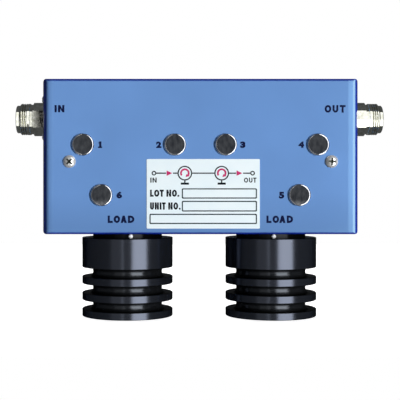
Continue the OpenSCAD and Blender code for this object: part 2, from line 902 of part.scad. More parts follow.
housing();
back_cover();
back_cover_screws();
mounting_nuts();
rating_label();
tuning_plug(0);  // tuning_plug_1
tuning_plug(1);  // tuning_plug_2
tuning_plug(2);  // tuning_plug_3
tuning_plug(3);  // tuning_plug_4
tuning_plug(4);  // tuning_plug_5
tuning_plug(5);  // tuning_plug_6
front_screws();
standoffs();
carrier_plate();
carrier_screws();
at_port(-1) behind_wall() jack_shell();  // in_jack_shell
at_port(1) behind_wall() jack_shell();  // out_jack_shell
at_load(-1) behind_wall() jack_shell();  // left_load_jack_shell
at_load(1) behind_wall() jack_shell();  // right_load_jack_shell
jack_insulators();
jack_contacts();
jack_flange_screws();
load_jack_screws();
heat_sink(-1);  // left_heat_sink
heat_sink(1);  // right_heat_sink
load_outer_contacts();
load_pins();
load_beads();
load_resistors();
load_lock_screws();
magnets(-1);  // left_magnets
magnets(1);  // right_magnets
ferrites(-1);  // left_ferrites
ferrites(1);  // right_ferrites
center_conductor(-1);  // left_center_conductor
center_conductor(1);  // right_center_conductor
ground_plate(-1);  // left_ground_plate
ground_plate(1);  // right_ground_plate
yoke(-1);  // left_yoke
yoke(1);  // right_yoke
ground_plate_spacers();
ground_plate_screws();
in_strap();
out_strap();
interstage_strap();
load_strap();  // left_load_strap
right_load_strap();
trimmer_bases();
trimmer_stators();
trimmer_nuts();
trimmer_rotor(0);  // trimmer_rotor_1
trimmer_rotor(1);  // trimmer_rotor_2
trimmer_rotor(2);  // trimmer_rotor_3
trimmer_rotor(3);  // trimmer_rotor_4
trimmer_rotor(4);  // trimmer_rotor_5
trimmer_rotor(5);  // trimmer_rotor_6
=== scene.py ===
import json
import math

import bmesh
import bpy
from mathutils import Matrix, Vector


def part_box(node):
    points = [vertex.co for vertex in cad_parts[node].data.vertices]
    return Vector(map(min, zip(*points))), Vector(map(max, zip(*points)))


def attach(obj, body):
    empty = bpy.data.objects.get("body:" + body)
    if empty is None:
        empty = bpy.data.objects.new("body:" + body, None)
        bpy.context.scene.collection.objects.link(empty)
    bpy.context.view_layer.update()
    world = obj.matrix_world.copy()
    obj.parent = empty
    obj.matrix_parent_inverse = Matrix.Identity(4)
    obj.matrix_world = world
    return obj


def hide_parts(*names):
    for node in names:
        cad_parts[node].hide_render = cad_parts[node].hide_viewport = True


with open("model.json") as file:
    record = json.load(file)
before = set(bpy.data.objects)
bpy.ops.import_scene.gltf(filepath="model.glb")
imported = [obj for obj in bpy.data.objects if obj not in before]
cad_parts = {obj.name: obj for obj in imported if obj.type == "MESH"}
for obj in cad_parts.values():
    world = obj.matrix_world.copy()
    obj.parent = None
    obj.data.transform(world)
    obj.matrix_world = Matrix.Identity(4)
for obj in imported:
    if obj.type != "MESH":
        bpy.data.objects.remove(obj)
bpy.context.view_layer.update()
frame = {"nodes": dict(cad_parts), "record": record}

MM = 0.001
ROOT_BODY = "isolator"

# Camera: it stands level in front of the object, and its picture is 400 pixels square
PICTURE_PX = 400
FOCAL_PX = 950
CAMERA_X = -19 * MM
CAMERA_Y = -483.6 * MM
CAMERA_Z = 64.45 * MM
SHIFT_PX = (38.26, -12)
SENSOR_MM = 36

# Lighting: directions are in degrees to the right of the camera and upwards, seen from the object
LIGHT_DISTANCE = 3.5
LOWEST, HIGHEST = -60, 60
KEY_RADIANCE = 2.9
KEY_STEP = -3.85
FILL_RADIANCE = 0.23
WORLD_DIFFUSE = 0.12
CLOTH_RADIUS = 9
CLOTH_GLOW = 0.07
FLOOR_GLOW = 0.9

# Screens that mirror-like surfaces show: name, span to the sides, lower and upper end, radiance
SCREENS = [
    ("key_screen", (15, 50), LOWEST, HIGHEST, KEY_RADIANCE),
    ("inner_key_screen", (12.4, 15), KEY_STEP, HIGHEST, 1.25),
    ("low_inner_key_screen", (11.3, 15), LOWEST, KEY_STEP, KEY_RADIANCE),
    ("left_fill_screen", (-40, -12.5), LOWEST, HIGHEST, FILL_RADIANCE),
    ("fill_screen", (-9.06, -8.76), LOWEST, HIGHEST, FILL_RADIANCE),
    ("dark_screen", (-8.76, -6.6), LOWEST, HIGHEST, 0),
    ("low_fill_screen", (-6.6, 10), LOWEST, -1.5, FILL_RADIANCE),
    ("left_key_screen", (-10.5, -9.06), LOWEST, HIGHEST, 1.4),
    ("outer_left_key_screen", (-12.5, -10.5), LOWEST, HIGHEST, 0.75),
]

# Lamps that light matt surfaces, described in the same way
LAMPS = [
    ("side_lamp", (43, 49), -3, 3, 357),
    ("back_lamp", (150, 210), -20, 30, 2),
    ("top_lamp", (150, 210), 50, 62, 10),
    ("left_back_lamp", (-160, -125), -40, 40, 1),
]

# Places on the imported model
housing_low, housing_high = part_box("housing")
FRONT_Y = housing_low.y
FLOOR_Z = housing_low.z
label_low, label_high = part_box("rating_label")
load_low, load_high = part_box("right_heat_sink")
LOAD_X = (load_low.x + load_high.x) / 2
BAND_TOP_Z = FLOOR_Z - 2.25 * MM
jack_low, jack_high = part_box("in_jack_shell")
JACK_Z = (jack_low.z + jack_high.z) / 2
JACK_TIP_X = -jack_low.x
SCREW_HEAD = 1.9 * MM
SCREW_X = 64.1 * MM
SCREW_Z = FLOOR_Z + 35.6 * MM

# The ports' thread, measured from the tip
THREAD_START = 2.35 * MM
THREAD_END = 5.8 * MM

# Relief in the enamel, which rounds the front off beyond this distance from the middle
SWELL_START = 72 * MM
SWELL = 1.3 * MM

# Painted highlight and painted shade on the enamel's bends: how far a face has turned towards an
# axis where each starts and ends, from 0 to 1. The painted shades give the axis first, and last the
# way along it, -1 or 1
PAINTED_HIGHLIGHT_BEND = (0.15, 0.45)
PAINTED_HIGHLIGHT_BEND_SOFTNESS = 0.05
PAINTED_SHADE_BENDS = [("X", 0.25, 0.55, -1), ("X", 0.42, 0.62, 1), ("Z", 0.2, 0.7, -1), ("Z", 0.1, 0.5, 1)]
NEARLY_FLAT = 0.99

# Shaders: most of a noise field lies in this range, and rotations count in whole turns
NOISE_LOW, NOISE_HIGH = 0.3, 0.7
QUARTER_TURN = 0.25


def linear(red, green, blue):
    """An 8-bit display colour as the linear colour that shaders take."""
    def one(value):
        share = value / 255
        return share / 12.92 if share <= 0.04045 else ((share + 0.055) / 1.055) ** 2.4
    return (one(red), one(green), one(blue), 1)


# Materials

class Finish:
    """A material with a Principled shader, and short ways to add detail to it."""

    def __init__(self, name, color, roughness, metallic=0.0, **sockets):
        self.material = bpy.data.materials.new(name)
        self.material.use_nodes = True
        self.nodes = self.material.node_tree.nodes
        self.links = self.material.node_tree.links
        self.shader = self.nodes["Principled BSDF"]
        self.shader.inputs["Base Color"].default_value = color
        self.shader.inputs["Metallic"].default_value = metallic
        self.shader.inputs["Roughness"].default_value = roughness
        for socket, value in sockets.items():
            self.shader.inputs[socket.replace("_", " ")].default_value = value
        self.place = self.nodes.new("ShaderNodeTexCoord").outputs["Object"]
        self.height = None

    def turned_about(self, axis, spread):
        """Stretches highlights along the axis, as the marks of a lathe tool do."""
        around = self.nodes.new("ShaderNodeTangent")
        around.direction_type = "RADIAL"
        around.axis = axis
        self.links.new(around.outputs["Tangent"], self.shader.inputs["Tangent"])
        self.shader.inputs["Anisotropic"].default_value = spread
        self.shader.inputs["Anisotropic Rotation"].default_value = QUARTER_TURN

    def noise(self, size, detail=2.0, stretch=(1, 1, 1)):
        """A noise field whose features are about size across, in metres."""
        mapping = self.nodes.new("ShaderNodeMapping")
        mapping.inputs["Scale"].default_value = [s / size for s in stretch]
        self.links.new(self.place, mapping.inputs["Vector"])
        field = self.nodes.new("ShaderNodeTexNoise")
        field.inputs["Scale"].default_value = 1
        field.inputs["Detail"].default_value = detail
        self.links.new(mapping.outputs["Vector"], field.inputs["Vector"])
        return field.outputs["Fac"]

    def lines(self, axis, pitch, distortion):
        """Tool marks: bands that repeat along one axis, a pitch apart."""
        mapping = self.nodes.new("ShaderNodeMapping")
        # The wave texture's own pitch at a scale of 1
        wave_pitch = 2 * math.pi / 20
        mapping.inputs["Scale"].default_value = [wave_pitch / pitch] * 3
        self.links.new(self.place, mapping.inputs["Vector"])
        wave = self.nodes.new("ShaderNodeTexWave")
        wave.bands_direction = axis
        wave.inputs["Scale"].default_value = 1
        wave.inputs["Distortion"].default_value = distortion
        wave.inputs["Detail Scale"].default_value = 2
        self.links.new(mapping.outputs["Vector"], wave.inputs["Vector"])
        return wave.outputs["Fac"]

    def math(self, operation, first, second=None):
        """One step of arithmetic on fields or numbers."""
        node = self.nodes.new("ShaderNodeMath")
        node.operation = operation
        for socket, value in zip(node.inputs, (first, second)):
            if isinstance(value, (int, float)):
                socket.default_value = value
            elif value is not None:
                self.links.new(value, socket)
        return node.outputs[0]

    def part(self, vector, axis):
        """One coordinate of a vector field."""
        split = self.nodes.new("ShaderNodeSeparateXYZ")
        self.links.new(vector, split.inputs["Vector"])
        return split.outputs[axis]

    def facing(self, axis, side=0):
        """A field of 1 on faces that look along the axis, and 0 on those at right angles to that.

        A side of -1 or 1 takes faces that look one way only.
        """
        turned = self.part(self.nodes.new("ShaderNodeTexCoord").outputs["Normal"], axis)
        return self.math("MULTIPLY", turned, side) if side else self.math("ABSOLUTE", turned)

    def on_bend(self, axis, start, end, side):
        """A field that rises from start to end of the turn towards an axis, and is 0 on the flat beyond."""
        turned = self.facing(axis, side)
        rising = self.between(turned, 0, 1, start, end)
        off_flat = self.between(turned, 1, 0, NEARLY_FLAT, 1)
        return self.math("MULTIPLY", rising, off_flat)

    def along(self, axis, start=0.0, mirrored=False):
        """A coordinate, or its size on either side of the middle, measured from a start, in metres."""
        place = self.part(self.place, axis)
        if mirrored:
            place = self.math("ABSOLUTE", place)
        return self.math("SUBTRACT", place, start)

    def distance(self, first, second):
        """The distance from a line, from two fields at right angles."""
        squares = [self.math("MULTIPLY", field, field) for field in (first, second)]
        return self.math("SQRT", self.math("ADD", *squares))

    def inside(self, field, low, high, soft):
        """A field of 1 where another is between low and high, with soft ends."""
        rising = self.between(field, 0, 1, low - soft, low + soft)
        falling = self.between(field, 1, 0, high - soft, high + soft)
        return self.math("MULTIPLY", rising, falling)

    def between(self, field, low, high, start=NOISE_LOW, end=NOISE_HIGH):
        """The field, of which the part from start to end is stretched to run from low to high."""
        spread = self.nodes.new("ShaderNodeMapRange")
        spread.inputs["From Min"].default_value = start
        spread.inputs["From Max"].default_value = end
        spread.inputs["To Min"].default_value = low
        spread.inputs["To Max"].default_value = high
        self.links.new(field, spread.inputs["Value"])
        return spread.outputs["Result"]

    def tint(self, field, color_a, color_b, start=NOISE_LOW, end=NOISE_HIGH):
        """Base colour that runs between two colours. None stands for what was set before."""
        mix = self.nodes.new("ShaderNodeMix")
        mix.data_type = "RGBA"
        base = self.shader.inputs["Base Color"]
        for socket, color in (("A", color_a), ("B", color_b)):
            if color is None:
                self.links.new(base.links[0].from_socket, mix.inputs[socket])
            else:
                mix.inputs[socket].default_value = color
        self.links.new(self.between(field, 0, 1, start, end), mix.inputs["Factor"])
        self.links.new(mix.outputs["Result"], base)

    def vary_roughness(self, field, low, high):
        """Roughness that wanders with a noise field."""
        self.links.new(self.between(field, low, high), self.shader.inputs["Roughness"])

    def bump(self, field, depth):
        """Surface relief of the given depth, in metres, on top of any added before."""
        node = self.nodes.new("ShaderNodeBump")
        node.inputs["Strength"].default_value = 1
        node.inputs["Distance"].default_value = depth
        self.links.new(field, node.inputs["Height"])
        if self.height is not None:
            self.links.new(self.height, node.inputs["Normal"])
        self.height = node.outputs["Normal"]
        self.links.new(self.height, self.shader.inputs["Normal"])


def shade(color, factor):
    """The colour made darker or lighter."""
    return tuple(c * factor for c in color[:3]) + (1,)


def blue_enamel():
    """For the housing: a little darker towards its lower edge, with a painted highlight and painted shade on
    its bends.
    """
    blue = linear(106, 147, 205)
    paint = Finish("blue_enamel", blue, roughness=0.09, Specular_Tint=(0.5, 0.85, 1, 1))
    paint.tint(paint.noise(40 * MM), shade(blue, 0.95), shade(blue, 1.05))
    paint.tint(paint.along("Z", FLOOR_Z), shade(blue, 0.85), None, 4 * MM, 20 * MM)
    # Painted highlight: a lighter strip along the right-hand bend
    right_bend_highlight = paint.inside(paint.facing("X", 1), *PAINTED_HIGHLIGHT_BEND, PAINTED_HIGHLIGHT_BEND_SOFTNESS)
    paint.tint(right_bend_highlight, None, linear(145, 184, 218), 0, 1)
    # Painted shade: navy on the bends that face left, up and down, and on the outer part of the right-hand
    # bend
    for bend in PAINTED_SHADE_BENDS:
        paint.tint(paint.on_bend(*bend), None, linear(12, 40, 145), 0, 1)
    paint.bump(paint.noise(1.2 * MM), 0.003 * MM)
    outward = paint.between(paint.along("X", mirrored=True), 0, 1, SWELL_START, housing_high.x)
    paint.bump(paint.math("SUBTRACT", 1, paint.math("MULTIPLY", outward, outward)), SWELL)
    return paint.material


def turned_nickel():
    """For the ports, with painted shade in the thread's grooves."""
    nickel = Finish("turned_nickel", (0.84, 0.84, 0.76, 1), metallic=1, roughness=0.04)
    nickel.tint(nickel.noise(1.6 * MM, 4), (0.66, 0.67, 0.56, 1), (0.94, 0.94, 0.87, 1))
    radius = nickel.distance(nickel.along("Y"), nickel.along("Z", JACK_Z))
    from_tip = nickel.along("X", JACK_TIP_X, mirrored=True)
    thread = nickel.inside(from_tip, -THREAD_END, -THREAD_START, 0.1 * MM)
    root_r, crest_r = 7.5 * MM, 7.85 * MM
    # Painted shade: the thread's roots are darker, between root_r and crest_r
    groove = nickel.math("MULTIPLY", thread, nickel.between(radius, 1, 0, root_r, crest_r))
    nickel.tint(groove, None, (0.58, 0.58, 0.49, 1), 0, 1)
    nickel.vary_roughness(nickel.noise(1.5 * MM), 0.03, 0.06)
    return nickel.material


def bright_nickel():
    """For the front screws: a bright head, with painted shade in its cross recess."""
    bright = (0.97, 0.98, 0.98, 1)
    dark = (0.08, 0.095, 0.08, 1)
    nickel = Finish("bright_nickel", bright, metallic=0.65, roughness=0.2)
    depth = nickel.along("Y", FRONT_Y - SCREW_HEAD)
    from_middle = nickel.distance(nickel.along("X", SCREW_X, mirrored=True), nickel.along("Z", SCREW_Z))
    recess_r, rim_r = 1 * MM, 2 * MM
    shallow, deep = 0.4 * MM, 0.7 * MM
    # Painted shade: the cross recess is dark, found by its depth and its distance from the screw's middle
    nickel.tint(depth, bright, dark, shallow, deep)
    nickel.tint(from_middle, None, bright, rim_r - 0.1 * MM, rim_r)
    nickel.tint(from_middle, dark, None, recess_r - 0.2 * MM, recess_r)
    nickel.vary_roughness(nickel.noise(1 * MM), 0.16, 0.24)
    return nickel.material


def pressed_nickel():
    """For the hole plugs: slightly wavy bright sheet, with a painted mottled reflection."""
    nickel = Finish("pressed_nickel", (0.62, 0.64, 0.66, 1), metallic=1, roughness=0.06)
    # Painted reflection: light and dark patches in the tone, stretched upright
    nickel.tint(nickel.noise(1.8 * MM, 5, (1, 1, 0.5)), (0.32, 0.34, 0.39, 1), (0.80, 0.82, 0.86, 1))
    nickel.vary_roughness(nickel.noise(1.2 * MM, 4), 0.02, 0.04)
    nickel.bump(nickel.noise(2.2 * MM, 3), 0.002 * MM)
    return nickel.material


def black_anodised():
    """For the heat sinks, turned, with painted shade on faces that look up or down, in the groove cores and
    on the hub.
    """
    turned, face_shade = (0.1, 0.112, 0.144, 1), (0.05, 0.054, 0.056, 1)
    deep, hub = (0.085, 0.092, 0.104, 1), (0.02, 0.021, 0.023, 1)
    black = Finish(
        "black_anodised", turned, metallic=0.95, roughness=0.26, Specular_Tint=(0.08, 0.08, 0.09, 1))
    black.turned_about("Z", 0.8)
    # Painted shade: faces that look up or down, such as the fins' tops, are darker
    black.tint(black.facing("Z"), turned, face_shade)
    radius = black.distance(black.along("X", LOAD_X, mirrored=True), black.along("Y"))
    core_r, lit_r = 17.7 * MM, 19.7 * MM
    # Painted shade: the groove cores inside lit_r are darker and less blue
    black.tint(radius, deep, None, core_r, lit_r)
    # Painted shade: the hub above the band, under the housing, is near black
    black.tint(black.along("Z", BAND_TOP_Z), None, hub, -0.2 * MM, 0.1 * MM)
    black.bump(black.lines("Z", 0.25 * MM, 0.4), 0.002 * MM)
    return black.material


def white_film():
    """For the label's film, which is a little cool and uneven."""
    film = Finish("white_film", linear(228, 241, 246), roughness=0.42, Coat_Weight=0.15)
    film.tint(film.noise(12 * MM), linear(225, 239, 245), linear(232, 243, 247))
    film.bump(film.noise(2 * MM), 0.003 * MM)
    return film.material


def zinc_white():
    """Bright unpolished zinc, which spreads light almost as paint does."""
    zinc = Finish("zinc_white", (0.9, 0.92, 0.93, 1), metallic=0.35, roughness=0.28)
    zinc.tint(zinc.noise(1 * MM), (0.84, 0.86, 0.87, 1), (0.95, 0.97, 0.98, 1))
    return zinc.material


def ink(name, red, green, blue):
    """Printing ink, a little uneven."""
    color = linear(red, green, blue)
    print_ink = Finish(name, color, roughness=0.6, Specular_IOR_Level=0.15)
    print_ink.tint(print_ink.noise(1 * MM), shade(color, 0.8), shade(color, 1.25))
    return print_ink.material


def plain(name, color, metallic, roughness, grain):
    """A finish with light variation in tone and roughness, for the remaining parts."""
    darker, lighter = shade(color, 0.93), shade(color, 1.05)
    smoother, rougher = roughness * 0.85, roughness * 1.2
    relief = grain * 0.01
    finish = Finish(name, color, metallic=metallic, roughness=roughness)
    finish.tint(finish.noise(5 * MM, 3), darker, lighter)
    finish.vary_roughness(finish.noise(1.5 * MM, 3), smoother, rougher)
    finish.bump(finish.noise(grain, 3), relief)
    return finish.material


FINISHES = {
    "blue_paint": blue_enamel(),
    "nickel": pressed_nickel(),
    "black_anodised": black_anodised(),
    "white_label": white_film(),
    "chromated_aluminium": plain("chromated_aluminium", (0.66, 0.66, 0.62, 1), 0.35, 0.34, 0.6 * MM),
    "zinc_steel": plain("zinc_steel", (0.62, 0.63, 0.65, 1), 0.5, 0.24, 0.5 * MM),
    "white_insulator": plain("white_insulator", (0.82, 0.82, 0.79, 1), 0, 0.45, 0.5 * MM),
    "gold_plate": plain("gold_plate", (0.83, 0.61, 0.24, 1), 1, 0.2, 0.3 * MM),
    "ceramic": plain("ceramic", (0.74, 0.71, 0.62, 1), 0, 0.6, 0.3 * MM),
    "magnet": plain("magnet", (0.07, 0.07, 0.075, 1), 0, 0.45, 0.4 * MM),
    "ferrite": plain("ferrite", (0.03, 0.03, 0.033, 1), 0, 0.4, 0.3 * MM),
    "copper": plain("copper", (0.72, 0.36, 0.22, 1), 1, 0.3, 0.5 * MM),
    "brass": plain("brass", (0.68, 0.50, 0.22, 1), 1, 0.28, 0.4 * MM),
    "yoke_steel": plain("yoke_steel", (0.42, 0.43, 0.45, 1), 1, 0.38, 0.5 * MM),
}
TURNED_NICKEL = turned_nickel()
BRIGHT_NICKEL = bright_nickel()
ZINC_WHITE = zinc_white()
NAVY_INK = ink("navy_ink", 0, 10, 52)
BLACK_INK = ink("black_ink", 6, 12, 20)
GREY_INK = ink("grey_ink", 36, 50, 54)
RED_INK = ink("red_ink", 190, 46, 104)


def paint(obj, material):
    """Leaves an object with this material alone."""
    obj.data.materials.clear()
    obj.data.materials.append(material)


for entry in frame["record"]["subparts"]:
    paint(frame["nodes"][entry["node"]], FINISHES[entry["material_slot"]])
paint(frame["nodes"]["front_screws"], BRIGHT_NICKEL)
paint(frame["nodes"]["load_lock_screws"], ZINC_WHITE)


# Building pieces

def add_object(name, data):
    """Puts data in the scene as a new object."""
    obj = bpy.data.objects.new(name, data)
    bpy.context.scene.collection.objects.link(obj)
    return obj


def add_piece(name, mesh, material, replaced=()):
    """Puts a finished mesh in the scene as a piece that rides on the fixed body."""
    obj = add_object(name, mesh)
    paint(obj, material)
    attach(obj, ROOT_BODY)
    if replaced:
        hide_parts(*replaced)


def mesh_from(name, points, faces):
    mesh = bpy.data.meshes.new(name)
    mesh.from_pydata(points, [], faces)
    mesh.update()
    return mesh


# Flat shapes, drawn as outlines in millimetres: x to the right, y up. An outline inside another is a hole

def rectangle(left, bottom, right, top):
    return [(left, bottom), (right, bottom), (right, top), (left, top)]


def arc(x, y, radius_x, radius_y, start, end, steps=16):
    """Points on an ellipse from one angle to another, in degrees."""
    angles = [math.radians(start + (end - start) * i / steps) for i in range(steps + 1)]
    return [(x + radius_x * math.cos(a), y + radius_y * math.sin(a)) for a in angles]


def ellipse(x, y, radius_x, radius_y):
    return arc(x, y, radius_x, radius_y, 0, 360, 48)[:-1]


def rounded_rectangle(left, bottom, right, top, radius):
    steps = 6
    corners = [(right, top, 0), (left, top, 90), (left, bottom, 180), (right, bottom, 270)]
    points = []
    for x, y, start in corners:
        inner_x = x - radius if x == right else x + radius
        inner_y = y - radius if y == top else y + radius
        points += arc(inner_x, inner_y, radius, radius, start, start + 90, steps)
    return points


def moved(outlines, x, y):
    """The outlines, shifted to the right and up."""
    return [[(px + x, py + y) for px, py in outline] for outline in outlines]


def flat_solid(name, outlines, thickness):
    """A plate between the outlines: x and y as drawn, z from 0 to the thickness, in metres."""
    curve = bpy.data.curves.new(name, "CURVE")
    curve.dimensions = "2D"
    curve.fill_mode = "BOTH"
    curve.extrude = thickness / 2
    for outline in outlines:
        spline = curve.splines.new("POLY")
        spline.points.add(len(outline) - 1)
        spline.use_cyclic_u = True
        for point, (x, y) in zip(spline.points, outline):
            point.co = (x * MM, y * MM, 0, 1)
    mesh = mesh_of_curve(curve)
    for v in mesh.vertices:
        v.co.z += thickness / 2
    return mesh


def mesh_of_curve(curve):
    """The mesh that a curve or text makes. The curve itself is taken out of the scene."""
    holder = add_object(curve.name, curve)
    bpy.context.view_layer.update()
    evaluated = holder.evaluated_get(bpy.context.evaluated_depsgraph_get())
    mesh = bpy.data.meshes.new_from_object(evaluated)
    bpy.data.objects.remove(holder)
    bpy.data.curves.remove(curve)
    return mesh


def stand_up(mesh, surface_y):
    """Turns a drawn plate to face the front, on a surface, with its y above the housing floor."""
    for v in mesh.vertices:
        v.co = (v.co.x, surface_y - v.co.z, FLOOR_Z + v.co.y)
    return mesh


# Lettering: a bold sans, drawn letter by letter, with width, height and stroke in millimetres.
# The digits 2 to 6 come from the built-in font, made bolder

INK_THICKNESS = 0.03 * MM
DIGIT_WEIGHT = 0.07


def letter_i(w, h, s):
    return [rectangle(0, 0, w, h)]


def letter_l(w, h, s):
    return [[(0, 0), (w, 0), (w, s), (s, s), (s, h), (0, h)]]


def letter_t(w, h, s):
    a, b = (w - s) / 2, (w + s) / 2
    return [[(a, 0), (b, 0), (b, h - s), (w, h - s), (w, h), (0, h), (0, h - s), (a, h - s)]]


def letter_n(w, h, s):
    drop = 1.5 * s
    return [[
        (0, 0), (s, 0), (s, h - drop), (w - s, 0), (w, 0), (w, h), (w - s, h), (w - s, drop), (s, h), (0, h)]]


def letter_o(w, h, s):
    return [
        ellipse(w / 2, h / 2, w / 2, h / 2),
        ellipse(w / 2, h / 2, w / 2 - s, h / 2 - s)]


def letter_u(w, h, s):
    bowl = w * 0.55
    outer = arc(w / 2, bowl, w / 2, bowl, 180, 360)
    inner = arc(w / 2, bowl, w / 2 - s, bowl - s, 360, 180)
    return [[(0, h)] + outer + [(w, h), (w - s, h)] + inner + [(s, h)]]


def letter_d(w, h, s):
    straight = w * 0.36
    outer = arc(straight, h / 2, w - straight, h / 2, -90, 90)
    inner = arc(straight, h / 2, w - straight - s, h / 2 - s, -90, 90)
    return [[(0, 0)] + outer + [(0, h)], [(s, s)] + inner + [(s, h - s)]]


def letter_a(w, h, s):
    foot, top = 1.1 * s, s
    lean = (w - top) / 2 / h
    bar_low, bar_high = 0.2 * h, 0.2 * h + 0.8 * s
    peak = (w / 2 - foot) / lean
    outer = [
        (0, 0), (foot, 0), (foot + lean * bar_low, bar_low), (w - foot - lean * bar_low, bar_low),
        (w - foot, 0), (w, 0), ((w + top) / 2, h), ((w - top) / 2, h)]
    hole = [
        (foot + lean * bar_high, bar_high), (w - foot - lean * bar_high, bar_high), (w / 2, peak)]
    return [outer, hole]


def digit_one(w, h, s):
    left, right, foot = 0.28 * w, 0.28 * w + s, 0.62 * s
    return [[
        (0, 0), (w, 0), (w, foot), (right, foot), (right, h), (left + 0.2 * s, h), (0.1 * w, 0.8 * h),
        (0.1 * w, 0.66 * h), (left, 0.74 * h), (left, foot), (0, foot)]]


def full_stop(w, h, s):
    return [rectangle(0, 0, w, s)]


LETTERS = {
    "I": letter_i, "L": letter_l, "T": letter_t, "N": letter_n, "O": letter_o,
    "U": letter_u, "D": letter_d, "A": letter_a, "1": digit_one, ".": full_stop}


def drawn_word(letters, bottom, top, stroke):
    """Outlines of letters, each given with its left and right edge."""
    outlines = []
    for letter, left, right in letters:
        outlines += moved(LETTERS[letter](right - left, top - bottom, stroke), left, bottom)
    return outlines


def font_text(name, text, left, right, bottom, top):
    """Text in the built-in font as a thin plate that fills a box, in millimetres."""
    curve = bpy.data.curves.new(name, "FONT")
    curve.body = text
    curve.size = 1
    curve.offset = DIGIT_WEIGHT
    curve.extrude = 0.5
    curve.resolution_u = 4
    mesh = mesh_of_curve(curve)
    low = [min(v.co[i] for v in mesh.vertices) for i in range(3)]
    high = [max(v.co[i] for v in mesh.vertices) for i in range(3)]
    for v in mesh.vertices:
        share = [(v.co[i] - low[i]) / (high[i] - low[i]) for i in range(3)]
        v.co = (
            (left + share[0] * (right - left)) * MM,
            (bottom + share[1] * (top - bottom)) * MM,
            share[2] * INK_THICKNESS)
    return mesh


# Name, letters with their left and right edge, lower and upper edge, stroke
DRAWN_CAPTIONS = [
    ("in_lettering", [("I", -71.4, -70.35), ("N", -69.7, -66.6)], 59.7, 63.2, 1.05),
    ("out_lettering", [("O", 60.7, 63.9), ("U", 64.55, 67.35), ("T", 68.05, 70.9)], 59.5, 63.2, 0.97),
    ("left_load_lettering",
     [("L", -45.4, -43.0), ("O", -42.5, -39.4), ("A", -39.1, -36.1), ("D", -35.5, -32.4)], 5.55, 9.15, 1.02),
    ("right_load_lettering",
     [("L", 32.2, 34.7), ("O", 35.2, 38.35), ("A", 38.5, 41.55), ("D", 42.15, 45.2)], 5.55, 9.15, 1.02),
    ("number_1", [("1", -50.15, -48.15)], 42.25, 45.45, 1.1),
]

# Name, text, left and right edge, lower and upper edge
FONT_CAPTIONS = [
    ("number_2", "2", -21.75, -19.15, 42.2, 45.35),
    ("number_3", "3", 19.35, 21.95, 42.25, 45.4),
    ("number_4", "4", 47.85, 50.65, 42.3, 45.4),
    ("number_5", "5", 38.3, 40.9, 17.5, 20.8),
    ("number_6", "6", -41.15, -38.4, 17.55, 20.95),
]


def make_lettering():
    for name, letters, bottom, top, stroke in DRAWN_CAPTIONS:
        mesh = flat_solid(name, drawn_word(letters, bottom, top, stroke), INK_THICKNESS)
        add_piece(name, stand_up(mesh, FRONT_Y), NAVY_INK)
    for name, text, left, right, bottom, top in FONT_CAPTIONS:
        mesh = font_text(name, text, left, right, bottom, top)
        add_piece(name, stand_up(mesh, FRONT_Y), NAVY_INK)


make_lettering()


# Rating label: white film with printed fields and a signal-flow diagram, heights above the housing floor

FILM_T = 0.2 * MM
FILM_CORNER = 0.5
FRAME_LINE = 0.58
FRAME_CORNER, FRAME_INNER_CORNER = 0.6, 0.35
FIELDS = [(-9.2, 17.45, 27.55, 22.5), (-9.2, 11.15, 27.55, 16.4), (-25.0, 5.05, 27.55, 10.05)]
DIAGRAM_Z = 29.9
DIAGRAM_LINE = 0.6
JUNCTION_X = (-7.7, 10.3)
JUNCTION_R = 3.6
TERMINAL_X = (-22.8, 25.4)
TERMINAL_R, TERMINAL_HOLE_R = 1.15, 0.6
ARROW_X = (-15.3, 18.9)
ROOM_BEHIND, ROOM_AHEAD = 1.5, 1.8
TURN_R, TURN_INNER_R = 2.35, 1.45
TURN_START, TURN_END = 215, -30
PORT_LOW, PORT_HIGH = DIAGRAM_Z - 4.6, DIAGRAM_Z - 2.2

# Corners of a turning arrow's head: radius and angle in degrees
TURN_HEAD = [(2.9, -30), (1.9, -80), (0.9, -30)]

# The gap between shapes that would touch otherwise
HAIRLINE = 0.02


def field_frames():
    """Thin frames round the label's fields."""
    outlines = []
    for left, bottom, right, top in FIELDS:
        outlines.append(rounded_rectangle(left, bottom, right, top, FRAME_CORNER))
        outlines.append(rounded_rectangle(
            left + FRAME_LINE, bottom + FRAME_LINE, right - FRAME_LINE, top - FRAME_LINE,
            FRAME_INNER_CORNER))
    return outlines


def arrow_head(x, z):
    back, half, front = 1.3, 1.3, 1.5
    return [(x - back, z - half), (x + front, z), (x - back, z + half)]


def diagram_lines():
    """Terminal, line, junction, line, junction, line, terminal, and a load below each junction."""
    left, right = TERMINAL_X
    first, second = JUNCTION_X
    before, after = ARROW_X
    half = DIAGRAM_LINE / 2
    outlines = []
    for x in TERMINAL_X:
        outlines += [
            ellipse(x, DIAGRAM_Z, TERMINAL_R, TERMINAL_R),
            ellipse(x, DIAGRAM_Z, TERMINAL_HOLE_R, TERMINAL_HOLE_R)]
    spans = [
        (left + TERMINAL_R, before - ROOM_BEHIND), (before + ROOM_AHEAD, first - JUNCTION_R),
        (first + JUNCTION_R, second - JUNCTION_R),
        (second + JUNCTION_R, after - ROOM_BEHIND), (after + ROOM_AHEAD, right - TERMINAL_R)]
    outlines += [
        rectangle(a + HAIRLINE, DIAGRAM_Z - half, b - HAIRLINE, DIAGRAM_Z + half) for a, b in spans]
    stem_top = DIAGRAM_Z - JUNCTION_R - HAIRLINE
    bar_top, bar_bottom = stem_top - 1, stem_top - 2
    bar_half = 2
    for x in JUNCTION_X:
        outlines += [
            ellipse(x, DIAGRAM_Z, JUNCTION_R, JUNCTION_R),
            ellipse(x, DIAGRAM_Z, JUNCTION_R - DIAGRAM_LINE, JUNCTION_R - DIAGRAM_LINE),
            [(x - half, stem_top), (x - half, bar_top), (x - bar_half, bar_top), (x - bar_half, bar_bottom),
             (x + bar_half, bar_bottom), (x + bar_half, bar_top), (x + half, bar_top), (x + half, stem_top)]]
    return outlines


